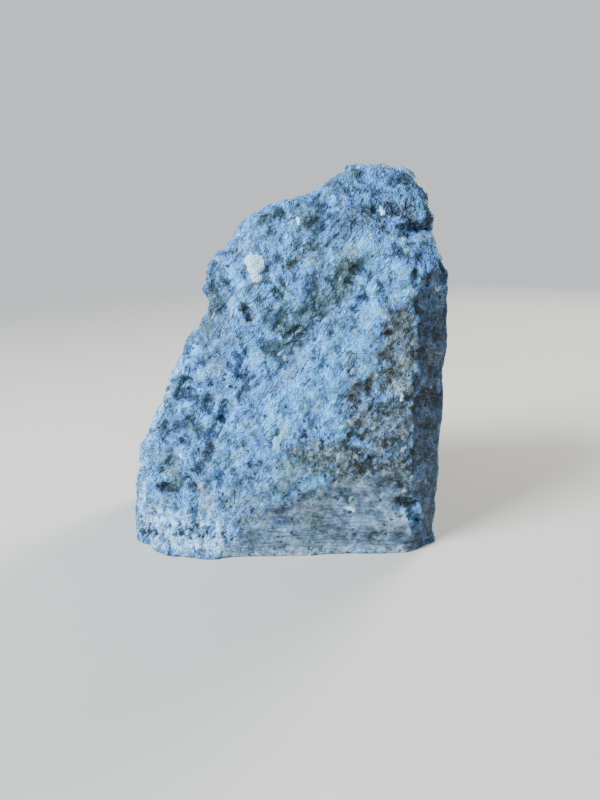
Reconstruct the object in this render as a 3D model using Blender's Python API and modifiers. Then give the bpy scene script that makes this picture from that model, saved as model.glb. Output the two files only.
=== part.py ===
# A block of soapstone for carving, as one solid piece.
# It is sawn flat underneath and low on the front right, and broken rough everywhere else.
# Metres, +Z up, the sawn front face towards -Y, the origin under the middle of the block.

import bmesh
import bpy
from mathutils import Matrix, Vector, noise

MM = 0.001

WIDTH = 128.6 * MM
DEPTH = 88.0 * MM
HEIGHT = 154.0 * MM

GRID = 1.6 * MM  # the cut block is rebuilt on a grid this fine before it is roughened
TRIANGLES = 10200  # what the surface is thinned to before the foot is cut off it
FOOT_SPARE = 4.0 * MM  # left on underneath until the end, when the foot is sawn flat
SLIVER = 0.15 * MM  # points this near the foot are put on it, so that no thin face is left

STONE_COLOUR = (0.27, 0.36, 0.42, 1.0)
STONE_ROUGHNESS = 0.78

# Each cut: a point on it in millimetres, the way the new face looks, and how rough the face is
# left, from 0 for a saw cut to 1 for a deep break.
CUTS = {
    "sawn front": ((0, -43.4, 0), (0.017, -1, 0), 0.12),
    "front right corner": ((51.5, -42.6, 0), (0.59, -0.807, 0.0), 0.35),
    "front break": ((-22, -43.8, 8), (-0.2525, -0.951, 0.178), 1.0),
    "front left corner": ((-42.5, -43.8, 0), (-0.575, -0.81, 0.08), 0.9),
    "left foot": ((-64.3, -28, 10), (-0.99, 0, 0.144), 0.6),
    "left slope": ((-58.6, -28, 41), (-0.912, 0.02, 0.411), 0.9),
    "left shoulder": ((-16, -15, 128), (-0.747, -0.08, 0.664), 0.8),
    "top slope": ((-10, -8, 134.2), (-0.413, -0.05, 0.911), 0.8),
    "dome top": ((40, -8, 151.4), (0.09, -0.06, 1), 0.5),
    "dome front": ((40, -33, 131), (0.05, -0.86, 0.51), 0.7),
    "dome right": ((52.5, -15, 148.5), (0.72, -0.1, 0.69), 0.6),
    "right ledge": ((58, -38, 114.5), (0.42, -0.80, 0.43), 0.7),
    "right upper": ((64.0, -30, 113.5), (0.955, -0.03, 0.297), 0.6),
    "right side": ((64.3, -33, 60), (0.998, 0.06, 0.0), 0.8),
    "right back": ((58, 30, 60), (0.66, 0.72, 0.2), 1.0),
    "sawn back": ((0, 43.6, 0), (0, 1, 0), 0.15),
    "back lean": ((0, 41, 62), (-0.05, 0.949, 0.316), 1.0),
    "back left": ((-50, 32, 30), (-0.62, 0.76, 0.2), 1.0),
    "back shoulder": ((-12, 14, 128), (-0.35, 0.55, 0.76), 0.9),
    "dome back": ((42, 12, 149), (0.2, 0.66, 0.72), 0.7),
}

# Ledges, hollows and lumps, worked along a stroke from one point to another, in millimetres:
# start, end, radius, height above the cut face (below it where negative), and the least
# roughness that the stroke leaves, on the scale of the cuts.
STROKES = {
    "notch under the left shoulder": ((-36, -40, 99), (-37, 2, 100), 13, -4.8, 0),
    "slope under the notch": ((-45, -38, 87), (-46, 0, 87), 11, -1.9, 0),
    "boulder brow": ((-27, -38, 118), (-32, 4, 115), 13, 3.0, 0),
    "dip before the dome": ((12, -30, 144), (14, 20, 146), 16, -2.4, 0),
    "dome crown": ((33, -30, 151), (34, 6, 152), 18, 1.5, 0),
    "crevice under the dome": ((52, -34, 128.5), (66, -22, 127), 5, -2.0, 0),
    "right shoulder": ((61, -36, 123), (63, -8, 122), 10, -1.4, 0),
    "left toe": ((-47, -40, 2), (-35, -42, 3), 14, 3.2, 0),
    "upper valley": ((34, -42, 113), (8, -40, 97), 12, -2.8, 0),
    "lower valley": ((8, -40, 97), (-13, -38, 84), 12, -2.8, 0),
    "valley foot": ((-13, -38, 82), (-27, -37, 60), 9, -2.2, 0),
    "brow over the valley": ((24, -38, 122), (-8, -34, 101), 12, 1.8, 0),
    "boulder cheek": ((-14, -32, 116), (-18, -32, 104), 14, 2.0, 0),
    "shallow break": ((10, -43, 58), (33, -43, 92), 15, -1.5, 0.85),
    "break by the corner": ((38, -43, 76), (48, -43, 104), 12, -0.6, 0.7),
    "fin": ((36, -43, 108), (34, -43, 86), 7, 1.5, 0),
    "pit beside the fin": ((28, -42, 103), (33, -42, 101), 6, -2.2, 0),
    "arc ridge": ((20, -43, 53), (33, -43, 62), 5, 0.9, 0.5),
    "hollow above the arc": ((27, -43, 66), (42, -43, 72), 7, -1.8, 0.6),
    "belly": ((-8, -42, 58), (10, -43, 40), 20, 1.4, 0),
    "left pits": ((-37, -36, 71), (-29, -37, 65), 6.5, -3.4, 0),
    "left crack": ((-23, -38, 63), (-28, -40, 48), 4.5, -2.8, 0),
    "left hollow": ((-46, -36, 38), (-37, -38, 27), 9, -2.6, 0),
    "toe crease": ((-31, -42, 27), (-30, -43, 6), 5, -2.2, 0),
    "crease by the toe": ((-13, -43, 40), (-20, -43, 24), 5, -1.4, 0),
    "corner bite": ((51, -43, 21), (54, -42, 17), 5, -1.6, 0.3),
    "right side scoop": ((64, -12, 84), (64, 12, 52), 19, -3.4, 0),
    "right side ridge": ((64, 6, 104), (64, 24, 66), 9, 2.0, 0),
    "back ledge": ((-34, 36, 56), (34, 34, 84), 10, 2.4, 0),
    "hollow under the back ledge": ((-30, 42, 45), (38, 40, 70), 12, -3.4, 0.8),
    "back furrow": ((-6, 30, 112), (14, 36, 88), 8, -2.6, 0),
    "left side hollow": ((-60, -6, 62), (-62, 14, 34), 14, -2.8, 0),
}

# A fully broken face: the size of its forms and how far they stand out.
SWELL_SIZE = 30.0 * MM
SWELL_HEIGHT = 1.7 * MM
LUMP_SIZE = 11.0 * MM
LUMP_HEIGHT = 1.5 * MM
GRAIN = Vector((0.50, 0.15, 0.85)).normalized()  # the lumps are longest this way
GRAIN_PULL = 0.38  # and are drawn out by 1 / (1 - this)
SEED = Vector((3.7, 1.9, 8.3))


def mm(point):
    return Vector(point) * MM


def cut_block():
    """A box of the block's size, cut down face by face."""
    mesh = bmesh.new()
    bmesh.ops.create_cube(mesh, size=1.0)
    bmesh.ops.scale(mesh, vec=(WIDTH, DEPTH, HEIGHT + FOOT_SPARE), verts=mesh.verts)
    bmesh.ops.translate(mesh, vec=(0, 0, (HEIGHT - FOOT_SPARE) / 2), verts=mesh.verts)
    for point, facing, _ in CUTS.values():
        everything = mesh.verts[:] + mesh.edges[:] + mesh.faces[:]
        cut = bmesh.ops.bisect_plane(
            mesh, geom=everything, plane_co=mm(point), plane_no=Vector(facing), clear_outer=True
        )
        rim = [item for item in cut["geom_cut"] if isinstance(item, bmesh.types.BMEdge)]
        if rim:
            bmesh.ops.contextual_create(mesh, geom=rim)
    bmesh.ops.recalc_face_normals(mesh, faces=mesh.faces)
    return mesh


def as_object(mesh, name, collection):
    data = bpy.data.meshes.new(name)
    mesh.to_mesh(data)
    mesh.free()
    obj = bpy.data.objects.new(name, data)
    collection.objects.link(obj)
    return obj


def settle_modifiers(obj):
    """Replaces the object's mesh with what its modifiers make of it."""
    bpy.context.view_layer.update()
    graph = bpy.context.evaluated_depsgraph_get()
    settled = bpy.data.meshes.new_from_object(obj.evaluated_get(graph))
    obj.modifiers.clear()
    obj.data = settled


def rebuild_on_grid(obj):
    """Gives the flat cut faces evenly spread points that can be moved."""
    grid = obj.modifiers.new("grid", "REMESH")
    grid.mode = "VOXEL"
    grid.voxel_size = GRID
    settle_modifiers(obj)


def break_roughness(place):
    """How rough the stone is at a place on the cut block: that of the cuts it lies on."""
    total = 0.0
    weight_sum = 0.0
    for point, facing, rough in CUTS.values():
        gap = abs((place - mm(point)).dot(Vector(facing).normalized()))
        weight = 1.0 / (gap + 0.6 * MM) ** 3
        total += weight * rough
        weight_sum += weight
    return total / weight_sum


def stroke_work(place):
    """How far the strokes raise the stone at a place, and how rough they leave it there."""
    height = 0.0
    roughest = 0.0
    for start, end, radius, rise, rough in STROKES.values():
        along = mm(end) - mm(start)
        share = max(0.0, min(1.0, (place - mm(start)).dot(along) / along.length_squared))
        gap = (place - mm(start) - along * share).length / (radius * MM)
        if gap < 1.0:
            fade = (1.0 - gap * gap) ** 2  # full along the stroke, gone at its radius
            height += rise * MM * fade
            roughest = max(roughest, rough * min(1.0, 2.0 * fade))
    return height, roughest


def break_height(place):
    """The swells and lumps of a broken face."""
    swell = noise.fractal(place / SWELL_SIZE + SEED, 1.0, 2.0, 2)
    drawn = (place - GRAIN * place.dot(GRAIN) * GRAIN_PULL) / LUMP_SIZE
    bent = drawn + 0.35 * noise.noise_vector(drawn * 0.8) + SEED
    nearest, second = noise.voronoi(bent)[0][:2]
    knob = min(1.0, 2.0 * (second - nearest)) - 0.5
    rubble = noise.fractal(bent, 1.0, 2.0, 2)
    return swell * SWELL_HEIGHT + (0.7 * knob + 0.6 * rubble) * LUMP_HEIGHT


def roughen(obj):
    """Works the strokes and the broken surface into the block, along its cut faces' normals."""
    data = obj.data
    normals = [vert.normal.copy() for vert in data.vertices]
    for vert, normal in zip(data.vertices, normals):
        place = vert.co.copy()
        height, rough = stroke_work(place)
        rough = max(rough, break_roughness(place))
        vert.co = place + normal * (height + break_height(place) * rough)
    data.update()


def thin_out(obj):
    """Keeps the triangles where the surface turns and spends few on its flats."""
    count = sum(len(face.vertices) - 2 for face in obj.data.polygons)
    thin = obj.modifiers.new("thin", "DECIMATE")
    thin.ratio = TRIANGLES / count
    thin.use_collapse_triangulate = True
    settle_modifiers(obj)


def trim_foot(obj):
    """Saws the block off flat underneath."""
    mesh = bmesh.new()
    mesh.from_mesh(obj.data)
    everything = mesh.verts[:] + mesh.edges[:] + mesh.faces[:]
    cut = bmesh.ops.bisect_plane(
        mesh,
        geom=everything,
        dist=SLIVER,
        plane_co=(0, 0, 0),
        plane_no=(0, 0, -1),
        use_snap_center=True,
        clear_outer=True,
    )
    rim = [item for item in cut["geom_cut"] if isinstance(item, bmesh.types.BMEdge)]
    bmesh.ops.contextual_create(mesh, geom=rim)
    bmesh.ops.recalc_face_normals(mesh, faces=mesh.faces)
    mesh.to_mesh(obj.data)
    mesh.free()


def stand_over_origin(obj):
    """Puts the middle of the block's foot at the origin. Returns where it was."""
    low = Vector(min(vert.co[axis] for vert in obj.data.vertices) for axis in range(3))
    high = Vector(max(vert.co[axis] for vert in obj.data.vertices) for axis in range(3))
    middle = (low + high) / 2
    middle.z = low.z
    obj.data.transform(Matrix.Translation(-middle))
    return middle


def soapstone():
    material = bpy.data.materials.new("soapstone")
    material.use_nodes = True
    shader = material.node_tree.nodes["Principled BSDF"]
    shader.inputs["Base Color"].default_value = STONE_COLOUR
    shader.inputs["Roughness"].default_value = STONE_ROUGHNESS
    shader.inputs["Metallic"].default_value = 0.0
    return material


def main():
    for obj in list(bpy.data.objects):
        bpy.data.objects.remove(obj)
    collection = bpy.data.collections.new("soapstone block")
    bpy.context.scene.collection.children.link(collection)
    block = as_object(cut_block(), "soapstone_block", collection)
    rebuild_on_grid(block)
    roughen(block)
    thin_out(block)
    trim_foot(block)
    middle = stand_over_origin(block)
    print("middle of the foot, before it was moved to the origin:", middle)
    block.data.materials.clear()
    block.data.materials.append(soapstone())


main()
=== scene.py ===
import math

import bmesh
import bpy
import numpy as np
from mathutils import Euler, Matrix, Vector, noise
from mathutils.bvhtree import BVHTree


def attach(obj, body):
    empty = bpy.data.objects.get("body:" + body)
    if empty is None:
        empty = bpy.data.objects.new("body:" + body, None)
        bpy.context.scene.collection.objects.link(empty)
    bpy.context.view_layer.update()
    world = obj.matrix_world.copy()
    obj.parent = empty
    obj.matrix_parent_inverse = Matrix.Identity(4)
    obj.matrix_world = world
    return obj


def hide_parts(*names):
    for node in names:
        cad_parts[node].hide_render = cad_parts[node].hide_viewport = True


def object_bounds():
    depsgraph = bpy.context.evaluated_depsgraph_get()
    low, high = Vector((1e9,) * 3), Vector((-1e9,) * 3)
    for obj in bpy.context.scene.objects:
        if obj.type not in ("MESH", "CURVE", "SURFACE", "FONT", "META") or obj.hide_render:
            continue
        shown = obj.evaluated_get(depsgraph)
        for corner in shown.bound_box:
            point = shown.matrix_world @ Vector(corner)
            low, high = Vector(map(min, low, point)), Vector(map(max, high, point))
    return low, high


# A rough block of soapstone for carving, dressed over its imported solid.
# The solid gives the block's size and its main forms. Here it gets its broken grain, pits and
# saw marks as mesh, and its minerals, with some painted shade and painted highlights, as a
# procedural material.

mm = 0.001

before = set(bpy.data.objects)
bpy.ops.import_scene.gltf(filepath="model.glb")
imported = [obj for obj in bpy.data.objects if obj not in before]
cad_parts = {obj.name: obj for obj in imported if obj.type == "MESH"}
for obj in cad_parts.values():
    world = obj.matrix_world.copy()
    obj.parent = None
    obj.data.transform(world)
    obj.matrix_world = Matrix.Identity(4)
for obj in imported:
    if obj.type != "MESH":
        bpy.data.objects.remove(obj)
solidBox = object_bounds()
print("solid loaded")


# camera: the photograph's view, in millimetres and degrees
cameraView = {
    "place": (7.9, -260.3, 133.7),
    "pitchDown": 17.0,
    "roll": -1.1,
    "focalPixels": 601.0,
    "photoSize": (600.0, 800.0),
    "sensor": 36.0,  # across the photograph's long side
    "nearest": 1,
}


def cameraTurn():
    upright = Euler((math.radians(90 - cameraView["pitchDown"]), 0, 0)).to_matrix()
    return upright @ Matrix.Rotation(math.radians(cameraView["roll"]), 3, "Z")


def makeCamera():
    data = bpy.data.cameras.new("camera")
    data.sensor_width = cameraView["sensor"]
    data.lens = cameraView["sensor"] * cameraView["focalPixels"] / cameraView["photoSize"][1]
    data.clip_start = cameraView["nearest"] * mm
    camera = bpy.data.objects.new("camera", data)
    bpy.context.scene.collection.objects.link(camera)
    turn = cameraTurn().to_4x4()
    camera.matrix_world = Matrix.Translation(Vector(cameraView["place"]) * mm) @ turn
    bpy.context.scene.camera = camera


makeCamera()
print("camera set")


def deselectAll():
    for obj in bpy.context.selected_objects:
        obj.select_set(False)


def pick(obj):
    deselectAll()
    obj.select_set(True)
    bpy.context.view_layer.objects.active = obj


def applyModifier(obj, kind, **settings):
    modifier = obj.modifiers.new(kind.lower(), kind)
    for name, value in settings.items():
        setattr(modifier, name, value)
    pick(obj)
    bpy.ops.object.modifier_apply(modifier=modifier.name)


def soften(obj, times, group=""):
    applyModifier(obj, "SMOOTH", factor=blockMesh["soften"], iterations=times, vertex_group=group)


# block: its mesh, in millimetres
blockMesh = {
    "name": "soapstone",
    "weld": 0.01,
    "voxel": 0.92,  # fine enough for 2 mm grains, and under 200,000 triangles
    # the saw cuts, each with the height of its upper edge at places from left to right
    "sawnFront": {
        "place": (0, -42.7, 0),
        "facing": (0.017, -1, 0),
        "edgeAcross": (-24, -13, -1, 15, 31, 52),
        "edgeHeight": (5, 17, 25, 31, 36, 35),
    },
    "sawnBack": {
        "place": (0, 44.3, 0),
        "facing": (0, 1, 0),
        "edgeAcross": (-60, 0, 60),
        "edgeHeight": (44, 58, 52),
    },
    "cornerFacing": (0.59, -0.807, 0),
    "cornerGrain": 0.3,  # the narrow facet down the front right corner is nearly smooth
    # how nearly a face turns as its facet does, as a cosine
    "footWithin": 0.9,
    "sawnWithin": 0.94,
    "cornerWithin": 0.97,
    "unseenFrom": -0.08,  # what faces away from the photograph's camera, so its ledges are made up
    "unseenBehind": -22,
    "sawnDepth": 1.1,
    "sawnWave": 6,  # the upper edges wander by this much, over the next value's length
    "sawnWaveLength": 9,
    "rimDepth": -26,  # how far forward the outline's edge lies
    "soften": 0.5,  # the share of one smoothing step, and then how many steps each place gets
    "softenEdges": 9,
    "softenSaw": 2,
    "softenBreaks": 3,
    "softenLedges": 1,
    "footSpare": 0.6,  # points this near the floor that face down are set down on it
    "footFacing": 0.7,
    "rimWidth": 0.6,  # how far from side-on the outline's rim may face
    "rimFull": 1.2,  # over 1, so that the stone just inside the rim moves as far as the rim
    "boxEase": 1.0,  # grain this near the box's sides is eased off, so that it isn't cut flat
}


def copySolid():
    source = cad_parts["soapstone_block"]
    block = bpy.data.objects.new(blockMesh["name"], source.data.copy())
    bpy.context.scene.collection.objects.link(block)
    pick(block)
    bpy.ops.object.mode_set(mode="EDIT")
    bpy.ops.mesh.select_all(action="SELECT")
    bpy.ops.mesh.remove_doubles(threshold=blockMesh["weld"] * mm)
    bpy.ops.object.mode_set(mode="OBJECT")
    applyModifier(block, "REMESH", mode="VOXEL", voxel_size=blockMesh["voxel"] * mm)
    return block


def isSawn(vert, cut):
    facing = Vector(cut["facing"]).normalized()
    depth = abs((vert.co / mm - Vector(cut["place"])).dot(facing))
    top = np.interp(vert.co.x / mm, cut["edgeAcross"], cut["edgeHeight"])
    top += blockMesh["sawnWave"] * noise.noise(vert.co / (blockMesh["sawnWaveLength"] * mm))
    within = vert.normal.dot(facing) > blockMesh["sawnWithin"]
    return within and depth < blockMesh["sawnDepth"] and vert.co.z < top * mm


def markBreaks(block):
    broken = block.vertex_groups.new(name="broken")
    ledged = block.vertex_groups.new(name="ledged")
    eye = Vector(cameraView["place"]) * mm
    cuts = (blockMesh["sawnFront"], blockMesh["sawnBack"])
    corner = np.zeros(len(block.data.vertices), np.float32)
    for vert in block.data.vertices:
        grain = 1.0
        if vert.normal.z < -blockMesh["footWithin"] or any(isSawn(vert, cut) for cut in cuts):
            grain = 0.0
        elif vert.normal.dot(Vector(blockMesh["cornerFacing"])) > blockMesh["cornerWithin"]:
            grain = blockMesh["cornerGrain"]
            corner[vert.index] = 1.0
        away = vert.normal.dot((eye - vert.co).normalized()) < blockMesh["unseenFrom"]
        away = away and grain == 1.0 and vert.co.y > blockMesh["unseenBehind"] * mm
        broken.add([vert.index], grain, "REPLACE")
        ledged.add([vert.index], float(away), "REPLACE")
    # the corner facet's place, which the material darkens as painted shade
    block.data.attributes.new("corner", "FLOAT", "POINT").data.foreach_set("value", corner)
    pick(block)
    bpy.ops.object.mode_set(mode="EDIT")
    bpy.ops.mesh.select_all(action="SELECT")
    bpy.ops.object.vertex_group_smooth(
        group_select_mode="ALL", factor=blockMesh["soften"], repeat=blockMesh["softenEdges"]
    )
    bpy.ops.object.mode_set(mode="OBJECT")


block = copySolid()
print("block copied:", len(block.data.polygons), "faces")
markBreaks(block)
soften(block, blockMesh["softenSaw"])
soften(block, blockMesh["softenBreaks"], "broken")
print("block softened")


# where a point of the photograph lies on the stone
def seenOn(block):
    tree = BVHTree.FromObject(block, bpy.context.evaluated_depsgraph_get())
    width, height = cameraView["photoSize"]
    eye = Vector(cameraView["place"]) * mm

    def onStone(x, y):
        aim = Vector((x - width / 2, height / 2 - y, -cameraView["focalPixels"]))
        look = cameraTurn() @ aim
        hit = tree.ray_cast(eye, look)[0]
        if hit is None:  # just outside the outline, so the nearest stone beside the line of sight
            reach = (blockMesh["rimDepth"] * mm - eye.y) / look.y
            hit = tree.find_nearest(eye + look * reach)[0]
        return hit

    return onStone


onStone = seenOn(block)


# marks pressed into the stone or raised on it: from and to in the photograph's pixels, then the
# radius and the height in millimetres, below the surface where negative
marks = {
    "crevice under the dome": (402, 227, 428, 229, 1.8, -1.4),
    "pit under the brow": (248, 311, 249, 316, 2.6, -1.4),
    "pit beside the fin": (357, 305, 366, 304, 3.2, -1.6),
    "fin": (378, 284, 373, 312, 3.2, 1.0),
    "crystal": (253, 262, 255, 274, 3.6, 0.9),
    "dome hole": (376, 208, 378, 210, 1.8, -0.9),
    "upper left pit": (184, 384, 190, 396, 4.2, -1.8),
    "next pit": (203, 402, 210, 406, 3.2, -1.3),
    "deep slot": (226, 407, 222, 418, 2.6, -1.5),
    "slot below": (218, 426, 213, 436, 2.6, -1.2),
    "centre hole": (286, 406, 287, 408, 2.0, -1.0),
    "arc": (366, 402, 356, 422, 2.4, 0.8),
    "arc's end": (356, 422, 338, 427, 2.2, 0.7),
    "hollow in the arc": (362, 386, 352, 408, 3.6, -1.2),
    "toe crack": (195, 502, 193, 534, 2.2, -1.4),
    "toe dent": (165, 487, 178, 489, 3.0, -1.3),
    "two holes": (254, 463, 262, 465, 2.0, -0.9),
    "corner hole": (404, 485, 410, 488, 2.2, -1.0),
    "corner bite": (404, 501, 412, 503, 2.8, -1.6),
    "corner chip": (411, 514, 417, 518, 2.4, -1.4),
    "long crack": (239, 356, 240, 375, 2.0, -1.0),
    "valley hollow": (288, 334, 297, 333, 3.6, -1.6),
    "brow": (300, 262, 250, 290, 6.0, 0.8),
    "dome's shoulder": (425, 192, 430, 207, 7.0, 0.7),
    "dome's top": (374, 163, 398, 166, 7.0, 0.8),
    "facet's outer edge": (444, 292, 443, 345, 6.0, 1.2),
}


markCore = 0.7  # how near a mark's line the stone moves as one, in millimetres


def pressMarks(block):
    pick(block)
    bpy.ops.object.mode_set(mode="EDIT")
    mesh = bmesh.from_edit_mesh(block.data)
    for fromX, fromY, toX, toY, radius, height in marks.values():
        start = onStone(fromX, fromY)
        end = onStone(toX, toY)
        along = end - start
        outward = Vector()
        bpy.ops.mesh.select_all(action="DESELECT")
        for vert in mesh.verts:
            share = (vert.co - start).dot(along) / along.length_squared
            nearest = start + along * min(1.0, max(0.0, share))
            if (vert.co - nearest).length < markCore * mm:
                vert.select = True
                outward += vert.normal
        mesh.select_flush_mode()
        bmesh.update_edit_mesh(block.data)
        bpy.ops.transform.translate(
            value=outward.normalized() * height * mm,
            use_proportional_edit=True,
            proportional_edit_falloff="SMOOTH",
            proportional_size=radius * mm,
        )
    bpy.ops.object.mode_set(mode="OBJECT")


stepTread = 0.075
stepHeights = [(0.28, 0.05), (0.38, 0.28), (0.48, 0.50), (0.58, 0.72), (0.68, 0.95)]  # riser, tread

# broken grain: each layer's size and depth in millimetres, how far it is drawn out along a grain
# turned in degrees, and the pattern's value that leaves the stone in place
grainLayers = {
    "big ledges": {"size": 15.0, "depth": 6.2, "pull": (1, 1, 2.4), "turn": (18, 30, 20), "middle": 0.66},
    "steps": {"size": 9.0, "depth": 1.5, "pull": (1, 1, 2.2), "turn": (0, 34, 0), "middle": 0.5},
    "ledges": {"size": 7.0, "depth": 1.4, "pull": (1, 1, 1.7), "turn": (0, 32, 0), "middle": 0.25},
    "flakes": {"size": 3.4, "depth": 0.9, "pull": (1, 1, 1.9), "turn": (0, -24, 0), "middle": 0.25},
    "lumps": {"size": 4.6, "depth": 1.2, "pull": (1, 1, 1.5), "turn": (0, 32, 0), "middle": 0.30},
    "grit": {"size": 1.9, "depth": 0.9, "pull": (1, 1, 1.3), "turn": (0, -24, 0), "middle": 0.40},
    "saw ripple": {"size": 1.0, "depth": 0.35, "pull": (9, 9, 1.6), "turn": (0, 6, 0), "middle": 0.5},
}


# turns a soft texture into treads with steep risers between them
def makeSteps(texture):
    texture.use_color_ramp = True
    elements = texture.color_ramp.elements
    while len(elements) < 2 * len(stepHeights):
        elements.new(0.5)
    for index, (riser, height) in enumerate(stepHeights):
        for element, place in zip(elements[2 * index : 2 * index + 2], (riser, riser + stepTread)):
            element.position = place
            element.color = (height, height, height, 1)


def roughen(block):
    for name, layer in grainLayers.items():
        guide = bpy.data.objects.new(name, None)
        bpy.context.scene.collection.objects.link(guide)
        guide.rotation_euler = [math.radians(angle) for angle in layer["turn"]]
        guide.scale = Vector(layer["pull"]) * mm
        bpy.context.view_layer.update()
        if name in ("ledges", "flakes"):
            texture = bpy.data.textures.new(name, "VORONOI")
            texture.weight_1 = -1
            texture.weight_2 = 1
        else:
            texture = bpy.data.textures.new(name, "CLOUDS")
            texture.noise_depth = 2
        if name in ("steps", "big ledges"):
            makeSteps(texture)
        texture.noise_scale = layer["size"]
        applyModifier(
            block,
            "DISPLACE",
            texture=texture,
            texture_coords="OBJECT",
            texture_coords_object=guide,
            strength=layer["depth"] * mm,
            mid_level=layer["middle"],
            vertex_group="ledged" if name == "big ledges" else "broken",
            invert_vertex_group=name == "saw ripple",
        )
        bpy.data.objects.remove(guide)
        if name == "big ledges":
            soften(block, blockMesh["softenLedges"], "ledged")


def vertexValues(block, name):
    values = np.empty(len(block.data.vertices) * 3, np.float32)
    block.data.vertices.foreach_get(name, values)
    return values.reshape(-1, 3)


# where the outline needs more or less stone: a place in the photograph and a radius, in its
# pixels, then how far the rim moves outward, in millimetres
outlineFits = {
    "dome's left": (344, 169, 24, -2.1),
    "top slope": (300, 194, 46, -0.8),
    "shoulder": (246, 214, 20, -0.5),
    "right shoulder": (441, 261, 12, -1.9),
    "dome's top": (383, 163, 14, 0.5),
    "left bulge": (203, 291, 16, 2.8),
    "boulder's edge": (213, 257, 14, 1.3),
    "under the left bulge": (206, 312, 10, -0.8),
    "left slope's upper part": (171, 372, 24, 0.8),
    "left slope": (148, 432, 18, -0.6),
    "dome's right": (427, 196, 12, 0.6),
    "facet's outer edge": (446, 310, 14, 0.8),
    "foot's right corner": (435, 541, 14, 2.6),
    "facet's lower edge": (441, 415, 34, 1.0),
    "foot's left corner": (137, 541, 12, 0.8),
}


# moves the stone's rim, as the photograph's camera sees it
def fitOutline(block):
    places = vertexValues(block, "co")
    facing = vertexValues(block, "normal")
    turn = np.array(cameraTurn())
    ahead = places / mm - np.array(cameraView["place"])
    seen = ahead @ turn
    width, height = cameraView["photoSize"]
    acrossPhoto = width / 2 - cameraView["focalPixels"] * seen[:, 0] / seen[:, 2]
    downPhoto = height / 2 + cameraView["focalPixels"] * seen[:, 1] / seen[:, 2]
    sight = ahead / np.linalg.norm(ahead, axis=1)[:, None]
    towards = np.sum(facing * sight, axis=1)
    outward = facing - towards[:, None] * sight
    onRim = np.clip(blockMesh["rimFull"] - np.abs(towards) / blockMesh["rimWidth"], 0, 1)
    for across, down, radius, shift in outlineFits.values():
        share = np.clip(1 - np.hypot(acrossPhoto - across, downPhoto - down) / radius, 0, 1)
        share = share * share * (3 - 2 * share) * onRim * shift * mm
        places += outward * share[:, None]
    block.data.vertices.foreach_set("co", places.astype(np.float32).ravel())
    block.data.update()


# the rough surface stays inside the solid's box, and the foot flat on the floor
def trimToSolid(block):
    places = vertexValues(block, "co")
    downward = vertexValues(block, "normal")[:, 2] < -blockMesh["footFacing"]
    low, high = np.array(solidBox)
    ease = blockMesh["boxEase"] * mm
    places = np.where(places > high - ease, high - ease + ease * np.tanh((places - high) / ease + 1), places)
    eased = np.where(places < low + ease, low + ease - ease * np.tanh((low - places) / ease + 1), places)
    places[:, :2] = eased[:, :2]
    places = np.clip(places, low, high)
    places[downward & (places[:, 2] < blockMesh["footSpare"] * mm), 2] = 0
    block.data.vertices.foreach_set("co", places.astype(np.float32).ravel())
    block.data.update()


pressMarks(block)
print("marks pressed")


# minerals that the photograph shows in one place, with painted shade in the pressed hollows
# and the valley, and painted highlights on the lit rims and the lower lip: strokes from and to
# in its pixels, then the radius in millimetres and the strength
mineralsAndPaintedLight = {}
mineralsAndPaintedLight["ash"] = {
    "above the saw cut's left": (230, 508, 290, 482, 6.5, 0.8),
    "belly's foot": (240, 474, 300, 462, 5.0, 0.5),
    "beside the strip": (376, 378, 398, 392, 4.5, 0.7),
    "right foot": (372, 424, 404, 446, 6.0, 0.6),
    "valley's foot": (258, 300, 290, 344, 5.0, 0.6),
    "rim's hollow": (302, 214, 322, 300, 4.5, 0.6),
    "left of the crystal": (220, 256, 232, 330, 3.5, 0.5),
    "dome's foot": (356, 218, 412, 216, 4.0, 0.6),
    "left slope": (200, 330, 176, 380, 3.0, 0.4),
    "toe": (150, 500, 170, 540, 6.0, 0.6),
}
mineralsAndPaintedLight["green"] = {
    "below the dome": (352, 252, 343, 276, 6.0, 1.0),
    "valley head": (345, 290, 322, 300, 5.0, 0.9),
    "valley": (318, 306, 284, 330, 6.0, 0.8),
    "valley foot": (296, 336, 268, 352, 5.0, 0.7),
    "left rim": (211, 296, 209, 326, 4.0, 1.0),
    "upper rim": (264, 218, 282, 215, 2.6, 0.7),
    "left foot": (172, 462, 174, 482, 5.0, 0.9),
    "by the slot": (205, 452, 228, 466, 3.5, 0.5),
    "above the saw cut": (290, 466, 345, 454, 6.5, 0.8),
    "on the saw cut": (300, 512, 322, 502, 4.5, 0.6),
}
mineralsAndPaintedLight["brown"] = {
    "right strip": (402, 322, 398, 430, 8.5, 0.9),
    "beside the arc": (364, 388, 350, 400, 5.0, 0.9),
    "inside the arc": (358, 418, 380, 440, 6.0, 0.9),
    "above the saw cut": (340, 474, 402, 468, 7.0, 1.0),
    "olive above it": (302, 452, 356, 460, 6.5, 0.75),
    "right of the arc": (366, 398, 376, 412, 4.0, 0.8),
    "left of the saw cut's end": (300, 474, 330, 470, 4.0, 0.4),
    "saw cut's upper end": (236, 523, 290, 507, 2.2, 0.8),
    "on the saw cut": (300, 505, 320, 508, 4.0, 0.6),
    "low on the saw cut": (338, 538, 371, 538, 2.2, 0.6),
    "brow line": (285, 268, 312, 248, 1.8, 0.8),
    "pit under the brow": (244, 308, 249, 316, 2.0, 1.0),
    "dome": (356, 212, 400, 210, 4.0, 0.5),
    "dome's lower right": (404, 212, 412, 220, 3.0, 0.7),
    "toe": (146, 533, 188, 533, 2.0, 0.6),
}
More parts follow.
